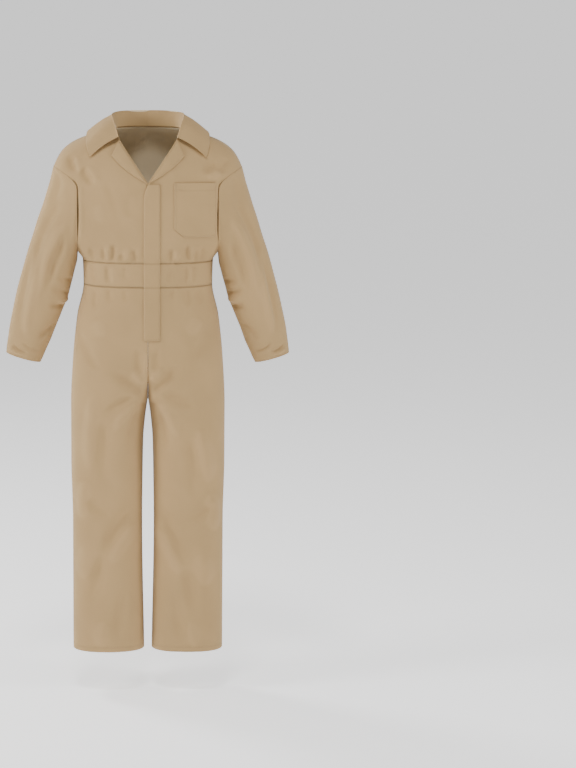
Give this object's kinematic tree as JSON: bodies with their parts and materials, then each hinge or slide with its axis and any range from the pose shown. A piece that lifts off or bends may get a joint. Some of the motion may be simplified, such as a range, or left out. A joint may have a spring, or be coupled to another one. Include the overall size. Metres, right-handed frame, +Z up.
{
  "type": "boiler suit",
  "caption": "Long-sleeved boiler suit in plain twill, filled out as worn, with an open notched collar, hidden front fastening, waistband, chest and hip pockets.",
  "frame": {"origin": "between the shoulders at the height of the neck, where the wearer's shoulders carry the suit", "axes": "+Z up along the wearer's height, the front faces -Y, +X is the wearer's left"},
  "size_m": [0.804, 0.2625, 1.5416],
  "materials": {
    "twill": "matte cotton twill",
    "snap": "satin, pale"
  },
  "bodies": {
    "root": {"front_left": "twill", "front_right": "twill", "back": "twill", "waistband_front_left": "twill", "waistband_front_right": "twill", "waistband_back": "twill", "leg_front_left": "twill", "leg_front_right": "twill", "leg_back_left": "twill", "leg_back_right": "twill", "sleeve_left": "twill", "sleeve_right": "twill", "collar": "twill", "lapel_left": "twill", "lapel_right": "twill", "fly_placket": "twill", "chest_pocket": "twill", "hip_pocket": "twill", "cuff_snap_left": "snap", "cuff_snap_right": "snap"}
  },
  "joints": []
}
